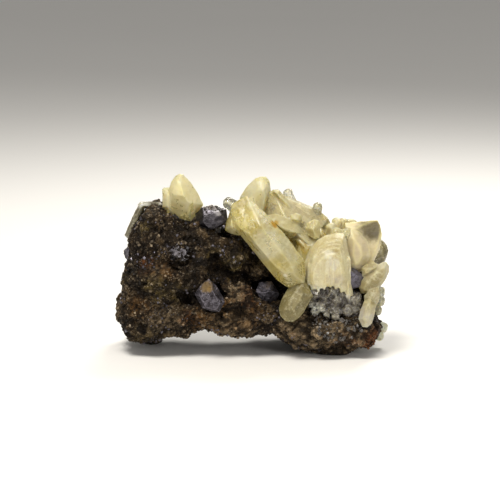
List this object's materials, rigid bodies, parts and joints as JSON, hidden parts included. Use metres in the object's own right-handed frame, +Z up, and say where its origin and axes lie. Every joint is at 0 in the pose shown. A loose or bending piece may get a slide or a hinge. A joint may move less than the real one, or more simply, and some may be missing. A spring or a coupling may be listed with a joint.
{
  "type": "galena specimen",
  "caption": "Piece of dark granular ore standing on rough feet, with lead-grey galena crystals and a crown of pale yellow calcite crystals.",
  "frame": {"origin": "under the middle of the specimen's box, on the surface it stands on", "axes": "+X along the long side, to the right in the picture; +Y to the back; +Z up"},
  "size_m": [0.1177, 0.0634, 0.077],
  "materials": {
    "ore": "rough, granular, dark brown with rust and ochre stains",
    "calcite": "translucent, waxy to glassy, pale yellow",
    "grey_calcite": "translucent, glassy, grey",
    "galena": "dull metallic lead grey with pits"
  },
  "bodies": {
    "root": {"matrix": "ore", "calcite_cluster": "calcite", "calcite_left_pair": "calcite", "calcite_left_plate": "calcite", "calcite_right_blades": "calcite", "calcite_upper_knobs": "grey_calcite", "calcite_lower_knobs": "grey_calcite", "calcite_grey_druse": "grey_calcite", "galena_top": "galena", "galena_front": "galena", "galena_hollow": "galena", "galena_right": "galena", "galena_left_edge": "galena", "galena_flush": "galena", "galena_back": "galena"}
  },
  "joints": []
}
